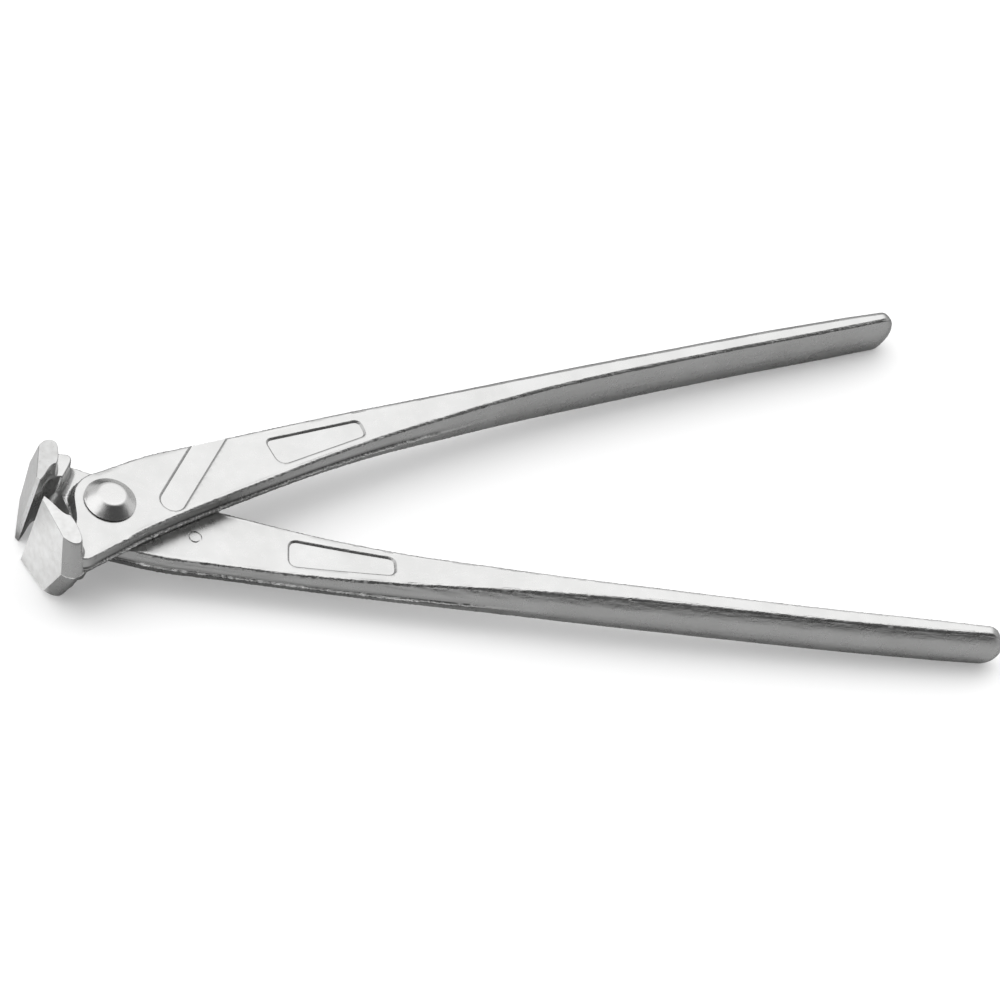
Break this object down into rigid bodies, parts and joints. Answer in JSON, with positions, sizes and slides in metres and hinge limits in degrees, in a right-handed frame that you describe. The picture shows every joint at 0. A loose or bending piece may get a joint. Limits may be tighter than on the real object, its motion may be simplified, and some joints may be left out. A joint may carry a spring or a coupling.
{
  "type": "end-cutting tying pliers",
  "caption": "Long-handled end-cutting nippers for tying rebar: two forged steel halves crossing in a lap joint on a rivet, with wide ground jaws.",
  "frame": {"origin": "centre of the flat on the front rivet head, on the pivot axis", "axes": "+Z along the pivot axis, out of the front rivet head; +X along the tool's middle line from the jaws to the handle ends; +Y to the side of the front half's handle; the jaws stand 14.4 degrees open"},
  "size_m": [0.2472, 0.11, 0.0249],
  "materials": {
    "forged_zinc_steel": "bright zinc plate on forged steel, satin with a slight orange peel",
    "rivet_steel": "zinc-plated upset rivet head, smooth and slightly glossy"
  },
  "bodies": {
    "front": {"front_half": "forged_zinc_steel", "rivet": "rivet_steel"},
    "back": {"back_half": "forged_zinc_steel"}
  },
  "joints": [
    {"name": "pivot", "type": "hinge", "parent": "front", "child": "back", "pos_m": [0, 0, -0.00905], "axis": [0, 0, 1], "range_deg": [-45, 14]}
  ]
}
